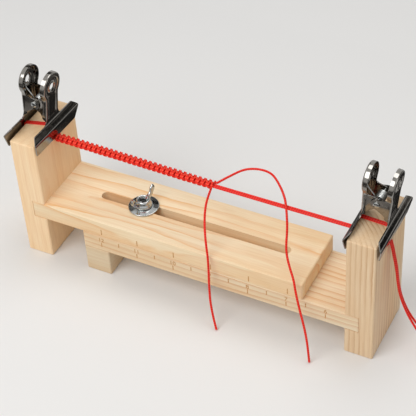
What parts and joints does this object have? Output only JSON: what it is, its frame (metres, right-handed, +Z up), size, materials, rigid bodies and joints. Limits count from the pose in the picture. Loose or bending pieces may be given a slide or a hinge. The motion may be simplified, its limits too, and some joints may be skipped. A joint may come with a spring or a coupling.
{
  "type": "sliding knotting board",
  "caption": "Wooden board with two upright end posts, sliding along a slot and locked by a wing nut, with a spring clip on each post holding a red knotted cord.",
  "frame": {"origin": "on the table surface, under the middle of the board's length and depth", "axes": "+X along the board towards the post of the lower board, +Y to the back, +Z up"},
  "size_m": [0.2917, 0.0745, 0.1324],
  "materials": {
    "pine_board": "sanded, unfinished pine",
    "pine_post": "sanded, unfinished pine",
    "zinc_hardware": "bright zinc plate",
    "clip_plate": "bright nickel-chrome plate",
    "clip_pin_steel": "bright plate",
    "spring_wire": "drawn spring wire, plated",
    "red_nylon_cord": "glossy twisted and braided nylon cord",
    "red_nylon_knots": "square knots of the same cord, pulled tight"
  },
  "bodies": {
    "base": {"base_board": "pine_board", "right_post": "pine_post", "foot_block": "pine_post", "carriage_bolt": "zinc_hardware", "flat_washer": "zinc_hardware", "core_cord_a": "red_nylon_cord", "core_cord_b": "red_nylon_cord", "right_anchor_cords": "red_nylon_cord", "tail_cord_a": "red_nylon_cord", "tail_cord_b": "red_nylon_cord", "right_clip_pin": "clip_pin_steel", "right_clip_spring": "spring_wire"},
    "sliding_frame": {"slotted_board": "pine_board", "left_post": "pine_post", "left_anchor_cords": "red_nylon_cord", "knotted_braid": "red_nylon_knots", "working_cord_front": "red_nylon_cord", "working_cord_back": "red_nylon_cord", "left_clip_pin": "clip_pin_steel", "left_clip_spring": "spring_wire"},
    "wing_nut": {"wing_nut": "zinc_hardware"},
    "left_inner_jaw": {"left_clip_inner_jaw": "clip_plate"},
    "left_outer_jaw": {"left_clip_outer_jaw": "clip_plate"},
    "right_inner_jaw": {"right_clip_inner_jaw": "clip_plate"},
    "right_outer_jaw": {"right_clip_outer_jaw": "clip_plate"}
  },
  "joints": [
    {"name": "frame_slide", "type": "slide", "parent": "base", "child": "sliding_frame", "axis": [1, 0, 0], "range_m": [-0.097, 0.026], "deforming": ["core_cord_a", "core_cord_b"]},
    {"name": "wing_nut_turn", "type": "hinge", "parent": "base", "child": "wing_nut", "pos_m": [-0.043, 0, 0.0463], "axis": [0, 0, 1], "range_deg": [0, 450]},
    {"name": "left_clip_inner_hinge", "type": "hinge", "parent": "sliding_frame", "child": "left_inner_jaw", "pos_m": [-0.10919, 0, 0.1103], "axis": [0, -0.9988, 0.0488], "range_deg": [0, 12], "stiffness_Nm_per_rad": 0.5, "springref_deg": -14.9, "deforming": ["left_clip_spring"]},
    {"name": "left_clip_outer_hinge", "type": "hinge", "parent": "sliding_frame", "child": "left_outer_jaw", "pos_m": [-0.10919, 0, 0.1103], "axis": [0, 0.9988, -0.0488], "range_deg": [0, 12], "stiffness_Nm_per_rad": 0.5, "springref_deg": -14.9},
    {"name": "right_clip_inner_hinge", "type": "hinge", "parent": "base", "child": "right_inner_jaw", "pos_m": [0.11281, 0, 0.1078], "axis": [0, 1, 0], "range_deg": [0, 12], "stiffness_Nm_per_rad": 0.5, "springref_deg": -14.9, "deforming": ["right_clip_spring"]},
    {"name": "right_clip_outer_hinge", "type": "hinge", "parent": "base", "child": "right_outer_jaw", "pos_m": [0.11281, 0, 0.1078], "axis": [0, -1, 0], "range_deg": [0, 12], "stiffness_Nm_per_rad": 0.5, "springref_deg": -14.9}
  ],
  "couplings": [
    {"joint": "left_clip_outer_hinge", "follows": "left_clip_inner_hinge", "ratio": 1},
    {"joint": "right_clip_outer_hinge", "follows": "right_clip_inner_hinge", "ratio": 1}
  ]
}
